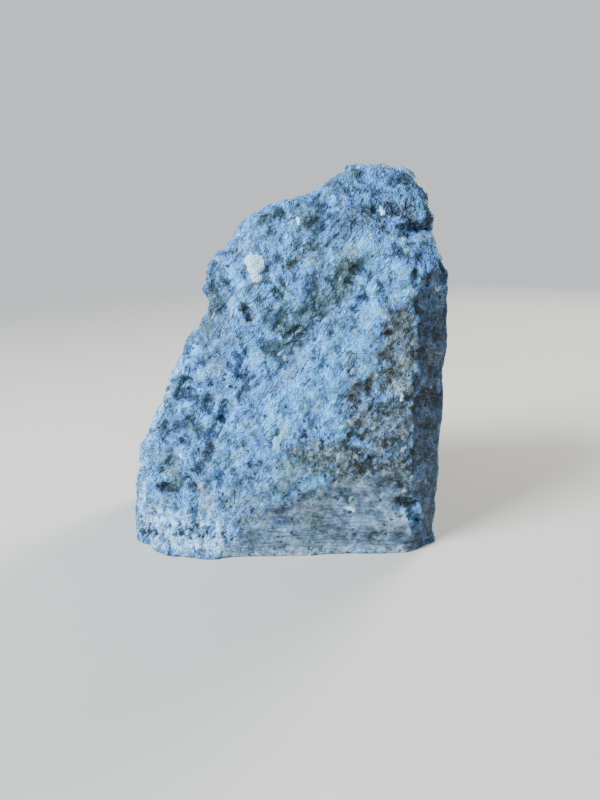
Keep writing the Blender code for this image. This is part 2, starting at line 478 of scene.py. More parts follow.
mineralsAndPaintedLight["pale"] = {
    "left toe": (152, 524, 216, 543, 8.5, 1.0),
    "toe's right side": (214, 520, 228, 545, 5.0, 0.7),
    # painted highlights along the lit lower lip and the lit left and upper left rims
    "left lip": (140, 541, 180, 557, 2.4, 1.0),
    "front lip": (182, 556, 412, 548, 3.0, 0.9),
    "left rim": (140, 528, 143, 452, 2.6, 0.8),
    "left slope's rim": (146, 440, 172, 374, 2.4, 0.8),
    "shoulder's rim": (214, 252, 248, 217, 2.0, 0.6),
    "saw cut's right end": (384, 514, 412, 516, 4.0, 0.7),
}
mineralsAndPaintedLight["dark"] = {
    "dome's right": (395, 176, 414, 184, 4.8, 1.1),
    "dome": (352, 214, 418, 208, 4.0, 0.25),
    "dome's cap": (358, 184, 406, 192, 11.0, 0.5),
    "dome's left edge": (355, 208, 357, 219, 2.4, 0.6),
    # painted shade in the pressed dome hole
    "dome hole": (375, 209, 376, 212, 1.3, 1.0),
    "dome spot": (389, 208, 397, 208, 1.8, 0.6),
    "dome's lower right": (407, 211, 413, 221, 2.8, 0.7),
    "dome's outer edge": (424, 187, 429, 222, 2.0, 1.0),
    "dome's top edge": (362, 166, 408, 171, 2.2, 0.5),
    # painted shade in the crevice under the dome's overhang
    "crevice under the dome": (400, 226, 418, 227, 1.2, 1.3),
    "crevice's end": (417, 229, 431, 231, 1.2, 1.2),
    "left of the dome": (318, 200, 322, 212, 3.4, 1.1),
    "left of the dome, foot": (322, 214, 336, 214, 1.4, 0.8),
    "rim's hollow": (304, 221, 317, 227, 2.6, 0.8),
    "brow's hollow": (318, 242, 328, 239, 2.0, 0.8),
    "brow's foot": (332, 237, 336, 252, 2.2, 0.7),
    "spot on the right slope": (409, 243, 411, 244, 1.4, 1.0),
    "next spot": (401, 250, 403, 252, 1.5, 1.0),
    "patch under the spots": (398, 256, 403, 257, 2.2, 0.6),
    "rim": (264, 217, 281, 215, 2.2, 0.7),
    "left rim": (211, 266, 211, 318, 1.8, 0.7),
    # the valley's dark strokes: partly its own dark colour, partly painted shade under the boulder
    "upper valley": (314, 276, 314, 296, 2.8, 0.9),
    "valley's upper line": (310, 281, 334, 281, 1.4, 0.7),
    "below the green": (360, 268, 369, 273, 2.2, 0.9),
    "beside the green": (353, 272, 353, 282, 1.8, 0.7),
    # painted shade in the slot beside the fin
    "slot beside the fin": (363, 300, 355, 308, 1.6, 1.4),
    # the valley's dark strokes: partly its own dark colour, partly painted shade under the boulder
    "valley": (349, 291, 336, 302, 2.0, 0.7),
    "valley's middle": (325, 308, 306, 325, 3.0, 0.5),
    "valley's bend": (300, 322, 287, 338, 4.5, 0.75),
    "valley foot": (304, 334, 278, 356, 5.0, 1.05),
    "valley's end": (270, 354, 284, 356, 2.0, 0.5),
    "below the valley": (262, 371, 270, 378, 1.6, 0.7),
    "left of the crystal": (240, 260, 250, 293, 1.3, 0.6),
    "right of the crystal": (264, 272, 281, 258, 1.3, 0.7),
    "brow line": (285, 268, 312, 248, 1.8, 0.8),
    "under the bright streak": (268, 281, 287, 299, 1.4, 0.8),
    "long fissure": (227, 283, 244, 308, 1.4, 0.7),
    # painted shade in the pit under the brow
    "pit under the brow": (246, 309, 250, 317, 1.7, 1.5),
    "fissure's end": (251, 318, 262, 345, 1.2, 0.4),
    "spot under the shoulder": (271, 230, 274, 233, 1.6, 0.8),
    "spots on the boulder": (296, 231, 297, 245, 1.4, 0.7),
    "spot by the bright streak": (281, 282, 283, 285, 1.4, 0.9),
    # painted shade in the upper left pit
    "upper left pit": (185, 383, 188, 396, 2.6, 1.8),
    "pit's left": (180, 391, 176, 398, 1.5, 1.6),
    "pit's foot": (188, 396, 195, 400, 1.8, 1.6),
    "beside the pit": (199, 384, 215, 382, 1.4, 1.0),
    "above the pit": (197, 360, 201, 366, 1.8, 0.7),
    # painted shade in the next pit and the two slots
    "next pit": (206, 396, 207, 410, 2.2, 1.0),
    "deep slot": (223, 406, 221, 421, 1.6, 1.6),
    "slot below": (219, 428, 216, 434, 1.5, 1.5),
    "slot's foot": (211, 432, 208, 460, 2.0, 1.2),
    # painted shade in the crack down the cheek
    "cheek line": (239, 357, 240, 373, 1.2, 1.1),
    "cheek line's foot": (241, 375, 246, 387, 1.8, 0.9),
    "below the cheek": (236, 395, 238, 401, 1.5, 0.8),
    "right of the cheek": (246, 371, 253, 378, 1.8, 0.7),
    "left slope": (175, 428, 191, 420, 2.2, 1.2),
    "left slope's foot": (166, 427, 166, 440, 2.0, 0.9),
    "left spot": (181, 440, 182, 442, 1.1, 1.3),
    # painted shade in the dent at the left foot
    "left foot": (157, 488, 180, 489, 1.6, 1.1),
    "left foot's end": (164, 490, 168, 494, 1.9, 0.9),
    "above the left foot": (162, 471, 161, 477, 1.6, 0.7),
    "small spot": (168, 461, 169, 466, 1.3, 0.8),
    "by the slot's foot": (195, 451, 195, 458, 1.4, 0.8),
    "by the rust": (193, 486, 195, 489, 1.4, 1.3),
    "lower left patch": (202, 463, 199, 472, 2.2, 0.9),
    "black spot": (215, 462, 217, 464, 1.1, 1.3),
    # painted shade in the two holes
    "left hole of two": (250, 465, 251, 467, 1.1, 1.4),
    "right hole of two": (261, 462, 261, 465, 1.1, 1.4),
    "left of the holes": (226, 470, 236, 471, 1.2, 0.9),
    "under the holes": (222, 474, 219, 480, 1.6, 0.8),
    # painted shade in the toe crack
    "toe crack": (195, 503, 196, 521, 1.7, 1.1),
    "toe crack's foot": (195, 527, 195, 535, 2.0, 1.2),
    "toe's left": (142, 532, 162, 533, 1.4, 0.8),
    "toe's middle": (177, 532, 189, 532, 1.6, 0.8),
    "toe's upper left": (145, 507, 151, 502, 1.6, 0.5),
    "toe's upper right": (220, 501, 222, 507, 1.8, 0.7),
    "above the saw cut's left": (276, 433, 263, 452, 1.5, 0.5),
    # painted shade in the centre hole
    "centre hole": (286, 406, 281, 411, 1.2, 1.5),
    "centre spot": (304, 433, 306, 435, 1.3, 1.3),
    "belly spot": (331, 331, 332, 333, 1.2, 1.1),
    "belly line": (354, 360, 356, 370, 1.1, 1.0),
    "belly line's foot": (350, 372, 352, 374, 1.2, 1.1),
    "above the arc": (360, 385, 369, 393, 1.6, 1.0),
    "inside the arc": (351, 399, 357, 401, 1.9, 0.9),
    "arc's hollow": (342, 408, 356, 410, 3.0, 0.25),
    "right of the arc": (373, 406, 384, 412, 1.7, 1.0),
    "strip's upper spot": (382, 334, 389, 333, 1.2, 0.8),
    "strip's upper right": (410, 326, 413, 338, 1.8, 0.9),
    "strip's middle": (383, 355, 381, 364, 1.4, 1.0),
    "strip's right": (416, 378, 417, 387, 1.4, 0.9),
    "strip's lower line": (396, 399, 419, 401, 1.6, 1.1),
    "strip's foot": (408, 407, 418, 412, 1.9, 1.0),
    "below the arc": (350, 434, 362, 438, 1.9, 0.9),
    "below the arc's end": (359, 450, 370, 457, 2.2, 0.9),
    "below the strip": (396, 452, 410, 456, 1.8, 0.9),
    "brown's upper part": (361, 468, 378, 466, 2.4, 0.8),
    "brown": (381, 471, 399, 473, 3.4, 0.8),
    "saw cut's top": (330, 481, 341, 483, 1.4, 0.6),
    "saw cut's top, middle": (355, 480, 356, 484, 1.5, 0.9),
    "saw cut's top, right": (381, 482, 389, 483, 1.4, 0.9),
    # painted shade in the corner hole, bite and chip
    "corner hole": (405, 484, 411, 490, 1.9, 1.2),
    "corner bite": (402, 500, 412, 505, 2.2, 1.5),
    "corner chip": (416, 517, 418, 519, 1.7, 1.3),
    "spot on the saw cut": (342, 496, 349, 499, 1.5, 0.9),
    "left spot on the saw cut": (304, 497, 306, 499, 1.3, 0.9),
    "far left spot on the saw cut": (285, 507, 287, 509, 1.2, 0.8),
    "line on the saw cut": (375, 533, 404, 534, 1.2, 0.8),
    "low line on the saw cut": (338, 537, 371, 540, 1.5, 0.6),
    "corner's upper edge": (416, 273, 417, 275, 1.2, 1.2),
    "corner": (417, 302, 421, 313, 1.6, 1.1),
    "facet's outer edge": (444, 268, 444, 280, 1.3, 0.8),
    "beside the dome": (339, 226, 348, 235, 4.0, 0.6),
    # partly own dark colour, partly painted shade, at the valley foot's lower end
    "valley foot's lower end": (268, 349, 283, 361, 3.2, 1.0),
    "below the shoulder": (224, 252, 234, 258, 3.6, 0.6),
    "boulder's right": (321, 252, 330, 258, 3.2, 0.5),
    "right slope": (383, 276, 392, 284, 4.0, 0.5),
    "below the left bulge": (215, 300, 221, 311, 4.0, 0.6),
    # partly own dark colour, partly painted shade, along the valley's lower edge
    "valley's lower edge": (304, 324, 314, 332, 4.0, 0.7),
    "belly's upper right": (352, 326, 360, 334, 3.2, 0.4),
    "beside the deep slot": (246, 400, 254, 410, 3.2, 0.45),
    "under the next pit": (192, 425, 201, 434, 3.4, 0.6),
    "strip's lower part": (389, 401, 398, 411, 3.2, 0.5),
    "right of the brown": (398, 450, 408, 462, 4.5, 1.0),
    "above the corner hole": (391, 474, 404, 484, 4.2, 1.0),
    "facet": (429, 280, 430, 282, 1.3, 0.9),
    "facet's upper band": (424, 328, 436, 338, 2.6, 0.7),
    "facet's middle": (424, 356, 432, 372, 2.8, 0.45),
    "facet's dark band": (426, 393, 438, 397, 2.2, 1.3),
    "facet's lower band": (424, 425, 438, 427, 1.6, 0.9),
}
mineralsAndPaintedLight["bright"] = {
    "fin": (371, 293, 376, 313, 2.8, 0.9),
    "right of the fin": (383, 311, 383, 319, 1.6, 0.9),
    "below the fin": (368, 322, 368, 345, 1.4, 1.0),
    "streak": (324, 322, 322, 350, 1.6, 1.1),
    "belly's right": (360, 355, 368, 368, 3.0, 0.6),
    "belly": (276, 400, 352, 350, 12.0, 0.45),
    "lower belly's middle": (240, 420, 300, 440, 9.0, 0.35),
    "belly flake": (298, 376, 298, 386, 1.6, 0.8),
    "belly line": (332, 380, 338, 401, 1.4, 0.9),
    "belly's upper left": (305, 350, 308, 360, 3.0, 0.4),
    "lower belly": (283, 420, 287, 430, 2.2, 1.2),
    "lower belly's right": (310, 415, 316, 424, 3.0, 0.5),
    "belly's foot": (310, 437, 318, 437, 1.6, 0.7),
    "arc": (366, 404, 357, 418, 1.3, 1.3),
    "arc's end": (353, 422, 339, 429, 1.5, 1.1),
    "under the arc": (354, 444, 363, 447, 1.3, 1.0),
    "under the arc's right": (371, 452, 383, 451, 1.6, 0.9),
    "right foot": (399, 426, 407, 446, 2.4, 0.5),
    "strip flake": (402, 396, 402, 403, 1.3, 1.0),
    "right of the arc": (377, 380, 385, 392, 3.0, 0.5),
    "strip's pale line": (402, 362, 417, 369, 1.7, 0.6),
    "beside the green": (362, 242, 363, 263, 1.5, 1.0),
    "below the dome": (378, 244, 384, 249, 2.6, 0.6),
    "flakes on the right slope": (402, 242, 407, 249, 1.5, 0.8),
    "right slope": (389, 257, 394, 290, 4.5, 0.5),
    "corner edge": (408, 283, 408, 298, 1.7, 1.1),
    "dome's right": (380, 182, 392, 184, 2.6, 0.6),
    "dome's crown": (371, 168, 382, 173, 2.6, 0.4),
    "dome's left": (351, 181, 359, 187, 1.9, 0.7),
    "dome's lower left": (344, 199, 344, 202, 2.0, 0.6),
    "dome's middle": (365, 229, 370, 232, 2.0, 0.6),
    "dome's outer flake": (420, 220, 422, 222, 1.4, 0.9),
    "rim flake": (324, 196, 326, 198, 1.5, 0.9),
    "upper left": (228, 264, 235, 283, 2.2, 1.1),
    "left of the pit": (235, 300, 234, 322, 2.0, 1.1),
    "by the crystal": (272, 276, 290, 299, 1.2, 1.2),
    "shoulder": (240, 238, 249, 251, 2.2, 0.7),
    "boulder": (232, 250, 290, 300, 8.0, 0.20),
    "valley's flake": (326, 290, 328, 292, 1.8, 0.8),
    "valley head": (336, 262, 344, 246, 2.2, 0.7),
    "brow's flake": (309, 259, 311, 262, 1.4, 1.0),
    "cheek": (249, 350, 252, 364, 2.2, 0.8),
    "cheek's left": (220, 340, 234, 366, 5.0, 0.45),
    "left slope": (201, 376, 210, 369, 2.2, 1.6),
    "left slope's upper part": (193, 350, 201, 353, 2.0, 1.3),
    "left slope's middle": (189, 361, 193, 364, 1.6, 1.0),
    # painted highlight on the left slope's lit rim
    "left slope's rim": (179, 361, 181, 371, 2.6, 0.7),
    "left slope's lower part": (200, 391, 214, 391, 1.4, 1.5),
    "beside the slot": (218, 396, 218, 422, 1.2, 1.4),
    "below the pit": (187, 401, 179, 407, 2.0, 1.0),
    "green's flake": (199, 417, 206, 422, 2.2, 0.6),
    "right of the slot": (225, 424, 232, 422, 2.2, 1.0),
    "left foot": (180, 456, 182, 458, 1.4, 1.3),
    "lower left": (200, 440, 232, 500, 7.0, 0.30),
    "above the toe": (157, 492, 162, 501, 2.2, 0.6),
    "toe": (168, 516, 173, 519, 2.4, 1.0),
    "toe's left": (156, 521, 159, 523, 2.0, 0.6),
    "toe's middle": (184, 507, 188, 515, 2.6, 0.7),
    "toe's right": (197, 507, 206, 520, 2.8, 0.7),
    "toe's far right": (219, 518, 220, 522, 1.8, 0.9),
    # painted highlights along the lit lower lip
    "toe's lip": (177, 541, 189, 548, 2.6, 0.8),
    "toe's right lip": (199, 544, 215, 548, 2.8, 1.0),
    "toe's left lip": (152, 542, 166, 547, 2.0, 0.8),
    "by the holes": (235, 452, 236, 462, 1.8, 0.6),
    "right of the holes": (268, 473, 269, 478, 1.8, 0.6),
    "saw cut's left line": (246, 533, 269, 538, 1.5, 0.7),
    "saw cut's top line": (321, 503, 340, 502, 1.4, 0.9),
    "saw cut's flake": (346, 506, 355, 510, 1.5, 1.2),
    "saw cut's upper right": (388, 491, 398, 494, 1.3, 1.2),
    "saw cut's upper line": (365, 500, 375, 499, 1.4, 0.7),
    "saw cut's right": (382, 506, 396, 512, 2.4, 0.7),
    "saw cut's corner": (399, 511, 411, 514, 1.6, 1.0),
    "saw cut's lower corner": (399, 519, 411, 521, 1.3, 0.9),
    "saw cut's middle": (356, 522, 378, 525, 2.0, 0.6),
    "saw cut's upper flake": (318, 491, 319, 493, 1.3, 0.9),
    "olive's flake": (318, 469, 323, 470, 1.6, 0.9),
    "olive's right flake": (343, 463, 346, 465, 1.7, 0.7),
    "olive's lower flake": (345, 478, 350, 479, 1.7, 0.8),
    "olive's upper line": (322, 442, 335, 450, 1.5, 0.7),
    # painted highlight along the lit lower lip
    "front lip": (372, 550, 405, 550, 1.4, 0.8),
    "below the dome's middle": (360, 247, 380, 262, 6.0, 0.95),
    "above the green": (346, 250, 352, 258, 3.5, 0.6),
    "left of the brow": (240, 280, 248, 306, 4.0, 0.6),
    "above the cheek": (254, 324, 264, 334, 4.5, 0.8),
    "cheek's right": (248, 348, 258, 362, 4.5, 0.8),
    "belly's lower right": (316, 396, 328, 414, 4.5, 0.65),
    "above the belly's foot": (294, 427, 318, 432, 4.5, 0.5),
    # painted highlight on the lit left rim
    "left edge": (158, 452, 162, 478, 4.2, 0.7),
    "above the toe's right": (184, 497, 256, 507, 5.0, 0.55),
    "above the brown": (324, 449, 336, 462, 4.2, 0.9),
    "beside the saw cut's top": (296, 476, 330, 482, 4.5, 0.8),
    "saw cut's left part": (250, 526, 306, 533, 5.0, 0.7),
    "facet's top": (428, 266, 432, 302, 4.0, 0.35),
    "facet's light band": (426, 410, 436, 416, 2.0, 0.6),
    "facet's lower light band": (428, 442, 436, 446, 2.0, 0.5),
    "facet's foot": (420, 508, 433, 526, 3.2, 0.7),
    # painted highlight along the lit lower lip
    "front lip's left": (288, 541, 341, 549, 3.0, 0.4),
}
mineralsAndPaintedLight["crystal"] = {
    "upper part": (250, 261, 257, 261, 2.8, 1.0),
    "middle": (252, 267, 258, 267, 2.7, 1.0),
    "lower part": (255, 272, 257, 278, 2.3, 1.0),
    "rim flakes": (297, 218, 299, 223, 1.0, 0.8),
    "dome flake": (381, 208, 383, 213, 1.0, 1.0),
    "flake by the holes": (180, 456, 182, 458, 1.2, 0.8),
    "strip flake": (402, 395, 402, 401, 1.0, 0.7),
    "saw cut's flake": (347, 507, 354, 510, 1.0, 0.7),
}
mineralsAndPaintedLight["rust"] = {
    "toe crack": (202, 486, 208, 502, 1.6, 0.9),
    "crack's end": (208, 502, 213, 512, 1.2, 0.6),
}


# how far each kind of stroke stands out from the stone, or lies below it, in millimetres
strokeRelief = {"dark": -0.55, "bright": 0.25, "crystal": 0.5}

# how far out a stroke ends, and how far its edge wanders, less on the crystal, as shares of its
# radius, then the size of that wandering in millimetres
strokeEdge = {"end": 1.4, "wander": 0.9, "crystal": 0.25, "size": 2.2}


def paintMineralsAndLight(block):
    places = vertexValues(block, "co")
    lifted = places.copy()
    facing = vertexValues(block, "normal")
    wander = np.array([noise.noise(vert.co / (strokeEdge["size"] * mm)) for vert in block.data.vertices])
    for name, strokes in mineralsAndPaintedLight.items():
        paint = np.zeros(len(places), np.float32)
        for fromX, fromY, toX, toY, radius, strength in strokes.values():
            start = np.array(onStone(fromX, fromY))
            along = np.array(onStone(toX, toY)) - start
            share = np.clip((places - start) @ along / (along @ along), 0, 1)
            gap = np.linalg.norm(places - start - share[:, None] * along, axis=1) / (radius * mm)
            gap += wander * strokeEdge.get(name, strokeEdge["wander"])
            paint = np.maximum(paint, strength * np.clip(strokeEdge["end"] - gap, 0, 1))
        layer = block.data.attributes.new(name, "FLOAT", "POINT")
        layer.data.foreach_set("value", paint)
        lifted += facing * paint[:, None] * strokeRelief.get(name, 0) * mm
    block.data.vertices.foreach_set("co", lifted.astype(np.float32).ravel())
    block.data.update()


def groupWeights(block, name):
    index = block.vertex_groups[name].index
    weights = np.zeros(len(block.data.vertices), np.float32)
    for vert in block.data.vertices:
        weights[vert.index] = sum(group.weight for group in vert.groups if group.group == index)
    return weights


# the saw cuts, and what the photograph doesn't show, as values that the material reads, with the
# corner facet half sawn
def paintRegions(block):
    sawn = np.maximum(0, 1 - groupWeights(block, "broken") / blockMesh["cornerGrain"] / 2)
    for name, values in (("sawn", sawn), ("unseen", groupWeights(block, "ledged"))):
        block.data.attributes.new(name, "FLOAT", "POINT").data.foreach_set("value", values.astype(np.float32))


paintMineralsAndLight(block)
paintRegions(block)
print("minerals painted")
roughen(block)
fitOutline(block)
trimToSolid(block)
block.data.shade_smooth()
print("block roughened")


def addNode(tree, kind, inputs, **settings):
    made = tree.nodes.new("ShaderNode" + kind)
    for name, value in settings.items():
        setattr(made, name, value)
    for name, value in inputs.items():
        if isinstance(value, bpy.types.NodeSocket):
            tree.links.new(value, made.inputs[name])
        else:
            made.inputs[name].default_value = value
    return made


def calc(tree, operation, first, second, third=0.0):
    inputs = {0: first, 1: second, 2: third}
    return addNode(tree, "Math", inputs, operation=operation).outputs[0]


def remap(tree, value, low, high, toLow=0.0, toHigh=1.0):
    inputs = {"Value": value, "From Min": low, "From Max": high, "To Min": toLow, "To Max": toHigh}
    return addNode(tree, "MapRange", inputs).outputs[0]


def blend(tree, factor, first, second, mode="MIX"):
    inputs = {0: factor, 6: first, 7: second}
    return addNode(tree, "Mix", inputs, data_type="RGBA", blend_type=mode, clamp_result=True).outputs[2]


def ramp(tree, value, colours):
    made = addNode(tree, "ValToRGB", {"Fac": value})
    elements = made.color_ramp.elements
    while len(elements) < len(colours):
        elements.new(0.5)
    for element, place, colour in zip(elements, stoneLook["tones"], colours):
        element.position = place
        element.color = (*colour, 1.0)
    return made.outputs["Color"]


def cloud(tree, place, size, detail=2.0, rough=0.5, warp=0.0):
    inputs = {"Vector": place, "Scale": 1 / size, "Detail": detail, "Roughness": rough, "Distortion": warp}
    return addNode(tree, "TexNoise", inputs).outputs["Fac"]


def cells(tree, place, size, output="Distance", **settings):
    return addNode(tree, "TexVoronoi", {"Vector": place, "Scale": 1 / size}, **settings).outputs[output]


def painted(tree, name):
    return addNode(tree, "Attribute", {}, attribute_name=name).outputs["Fac"]


# what each value adds around the middle tone, by its share
def addUp(tree, values, shares):
    total = 0.5 - 0.5 * sum(shares)
    for value, share in zip(values, shares):
        total = calc(tree, "MULTIPLY_ADD", value, share, total)
    return total


# the stone's own place in millimetres, with patterns drawn out by "pull" along a turned grain
def stonePlace(tree, pull=(1, 1, 1), turn=(0, 0, 0)):
    place = addNode(tree, "TexCoord", {}).outputs["Object"]
    turned = tuple(math.radians(angle) for angle in turn)
    inputs = {"Vector": place, "Rotation": turned, "Scale": tuple(part * mm for part in pull)}
    return addNode(tree, "Mapping", inputs, vector_type="TEXTURE").outputs["Vector"]


def bend(tree, place, size, amount):
    wave = addNode(tree, "TexNoise", {"Vector": place, "Scale": 1 / size, "Detail": 2.0}).outputs["Color"]
    wave = addNode(tree, "VectorMath", {0: wave, 1: (0.5, 0.5, 0.5)}, operation="SUBTRACT").outputs[0]
    wave = addNode(tree, "VectorMath", {0: wave, 3: amount}, operation="SCALE").outputs[0]
    return addNode(tree, "VectorMath", {0: place, 1: wave}, operation="ADD").outputs[0]


# stone: its colours by tone, and its patterns. A cloud has its size in millimetres, detail,
# roughness and warp. A grain has how far it is drawn out, and its turn in degrees. A wave has its
# size and reach. An edge has the values that it runs between, then what it gives if not 0 to 1.
stoneLook = {
    "tones": (0.22, 0.36, 0.49, 0.60, 0.80),
    "blue": [
        (0.014, 0.020, 0.030),
        (0.052, 0.091, 0.152),
        (0.119, 0.276, 0.605),
        (0.158, 0.500, 1.000),
        (0.270, 0.930, 1.000),
    ],
    "teal": [
        (0.011, 0.021, 0.028),
        (0.047, 0.094, 0.125),
        (0.106, 0.290, 0.450),
        (0.168, 0.520, 0.780),
        (0.280, 0.940, 1.000),
    ],
    "grey": [
        (0.011, 0.014, 0.017),
        (0.052, 0.070, 0.082),
        (0.144, 0.188, 0.220),
        (0.290, 0.345, 0.390),
        (0.600, 0.700, 0.760),
    ],
    "tealCloud": (7, 3, 0.65, 0.8),
    "tealEdge": (0.40, 0.60),
    # the tone, with the shares of the patches, lumps, flakes, both streaks and the grit
    "toneShares": (0.14, 0.07, 0.16, 0.38, 0.38, 0.36),
    "patch": (13, 1, 0.5, 0.6),
    "lump": 6.5,
    "lumpGrain": ((1, 1, 1.7), (0, 34, 0)),
    "flake": 2.7,
    "flakeGrain": ((1, 1, 1.7), (0, -26, 0)),
    "grainWave": (4, 2.2),
    "streak": (2.2, 2, 0.55),
    "leftStreak": ((0.8, 0.8, 3.2), (0, -24, 0)),
    "rightStreak": ((0.8, 0.8, 3.2), (0, 36, 0)),
    "grit": (1.2, 2, 0.6),
    # what the painted marks add to the tone, painted shade and painted highlights among them, with the
    # shares of the paint and of its ragged edge
    "shifts": {"dark": -0.17, "bright": 0.13, "pale": 0.07, "brown": -0.05, "green": -0.03, "corner": -0.085},
    "markShares": (1.0, 0.9),
    "markRagged": (2.0, 2, 0.6),
    "markEdge": (0.1, 1.1, 0.0, 1.1),
    "mottle": (2.4, 2, 0.6),
    "mottled": {"pale": 0.9, "brown": 0.5, "corner": 0.5},
    "broad": (22, 2, 0.6, 0.6),
    "broadShare": 0.9,
    # painted shade on the corner facet: the dark tone that it is drawn to, and by how much
    "cornerTone": 0.325,
    "cornerCalm": 0.3,
    "fissure": 4.5,
    "fissureGrain": ((1, 1, 2.4), (0, 34, 0)),
    "fissureWave": (3, 2.0),
    "fissureEdge": (0.015, 0.07, 1.0, 0.0),
    "fissured": (6, 2, 0.6),
    "fissuredEdge": (0.47, 0.60),
    "fissureTone": -0.10,
    "gritEdge": (0.3, 0.7),
    "roughness": (0.55, 0.85),
}


# the stone's tone, from broad patches down to single grains, with the strokes' painted shade
# and highlights and the corner facet's painted shade
def stoneTone(tree, place):
    look = stoneLook
    patch = cloud(tree, place, *look["patch"])
    lump = bend(tree, stonePlace(tree, *look["lumpGrain"]), *look["grainWave"])
    lump = cells(tree, lump, look["lump"], "Color")
    flake = bend(tree, stonePlace(tree, *look["flakeGrain"]), *look["grainWave"])
    flake = cells(tree, flake, look["flake"], "Color")
    leftStreak = cloud(tree, stonePlace(tree, *look["leftStreak"]), *look["streak"])
    rightStreak = cloud(tree, stonePlace(tree, *look["rightStreak"]), *look["streak"])
    grit = cloud(tree, place, *look["grit"])
    tone = addUp(tree, (patch, lump, flake, leftStreak, rightStreak, grit), look["toneShares"])
    ragged = cloud(tree, place, *look["markRagged"])
    for name, shift in look["shifts"].items():
        mark = addUp(tree, (painted(tree, name), ragged), look["markShares"])
        tone = calc(tree, "MULTIPLY_ADD", remap(tree, mark, *look["markEdge"]), shift, tone)

    # the pale toe, the brown patches and the corner are more mottled
    mottle = calc(tree, "SUBTRACT", cloud(tree, place, *look["mottle"]), 0.5)
    for name, share in look["mottled"].items():
        tone = calc(tree, "MULTIPLY_ADD", calc(tree, "MULTIPLY", mottle, painted(tree, name)), share, tone)

    # broad patches where the photograph doesn't show the stone
    broad = calc(tree, "SUBTRACT", cloud(tree, place, *look["broad"]), 0.5)
    broad = calc(tree, "MULTIPLY", broad, painted(tree, "unseen"))
    tone = calc(tree, "MULTIPLY_ADD", broad, look["broadShare"], tone)

    # painted shade: the corner facet, which faces away from the key light, lies nearer one dark tone
    calmer = calc(tree, "MULTIPLY", calc(tree, "SUBTRACT", look["cornerTone"], tone), painted(tree, "corner"))
    tone = calc(tree, "MULTIPLY_ADD", calmer, look["cornerCalm"], tone)

    # fissures between the flakes, where the grain opens
    steep = bend(tree, stonePlace(tree, *look["fissureGrain"]), *look["fissureWave"])
    edge = cells(tree, steep, look["fissure"], feature="DISTANCE_TO_EDGE")
    opened = remap(tree, cloud(tree, place, *look["fissured"]), *look["fissuredEdge"])
    fissure = calc(tree, "MULTIPLY", remap(tree, edge, *look["fissureEdge"]), opened)
    fissure = calc(tree, "MULTIPLY", fissure, calc(tree, "SUBTRACT", 1.0, painted(tree, "sawn")))
    tone = calc(tree, "MULTIPLY_ADD", fissure, look["fissureTone"], tone)
    return tone, flake, grit, fissure


# patches of other minerals, and the corner facet's painted shade: each one's tint, its own
# patches' size, and how rare those are
patchLook = {
    "kinds": {
        "ash": ((0.92, 1.08, 1.10, 1), 16, 0.53),
        "green": ((0.88, 1.10, 0.90, 1), 12, 0.58),
        "brown": ((1.05, 0.90, 0.70, 1), 14, 0.60),
        "pale": ((1.30, 1.60, 1.80, 1), 9, 0.66),
        "rust": ((2.00, 1.25, 0.95, 1), 5, 0.74),
        # painted shade: the corner facet's darker, bluer tint, as that facet lies in shade
        "corner": ((0.70, 0.98, 1.50, 1), 9, 1.0),
    },
    "grain": ((1, 1, 1.5), (0, 34, 0)),
    "cloud": (2, 0.6, 1.0),
    "fade": 0.07,
    "ownShare": 0.6,
    "unseenAsh": 0.7,  # greyer all over where the photograph doesn't show the stone
    "ragged": (2.6, 3, 0.65, 0.5),
    "shares": (1.0, 2.2),
    "edge": (0.30, 0.85, 0.0, 0.9),
}


# the patches lie where they are painted, and a few of their own all round
def addPatches(tree, place, tone, colour):
    look = patchLook
    grey = ramp(tree, tone, stoneLook["grey"])
    grain = stonePlace(tree, *look["grain"])
    ragged = cloud(tree, place, *look["ragged"])
    for name, (tint, size, least) in look["kinds"].items():
        own = remap(tree, cloud(tree, grain, size, *look["cloud"]), least, least + look["fade"])
        mask = calc(tree, "MAXIMUM", painted(tree, name), calc(tree, "MULTIPLY", own, look["ownShare"]))
        if name == "ash":
            mask = calc(tree, "MULTIPLY_ADD", painted(tree, "unseen"), look["unseenAsh"], mask)
        mask = remap(tree, addUp(tree, (mask, ragged), look["shares"]), *look["edge"])
        colour = blend(tree, mask, colour, blend(tree, 1.0, grey, tint, "MULTIPLY"))
    return colour


# saw cut: greyer, with short streaks that the saw left, level low down and tilted higher up, and
# smeared talc. Its tone has the shares of the stone's tone, the streaks and the broad smears
sawCutLook = {
    "tint": (0.84, 0.80, 0.82, 1),
    "oliveTint": (0.68, 0.71, 0.58, 1),
    "olive": (8, 2, 0.6, 0.8),
    "oliveEdge": (0.46, 0.60),
    "streak": (1.1, 3, 0.65, 1.2),
    "lowGrain": ((7, 6, 1), (0, 2, 0)),
    "highGrain": ((7, 6, 1), (0, 14, 0)),
    "highEdge": (14, 34),
    "broad": (7, 2, 0.6, 0.8),
    "broadGrain": ((1.8, 2, 1), (0, 8, 0)),
    "toneShares": (0.70, 0.85, 0.50),
    "paleTone": 0.12,
    "ragged": (6, 4, 0.7, 0.6),
    "shares": (1.0, 2.4),
    "edge": (0.25, 0.80),
    "cover": 0.85,
}


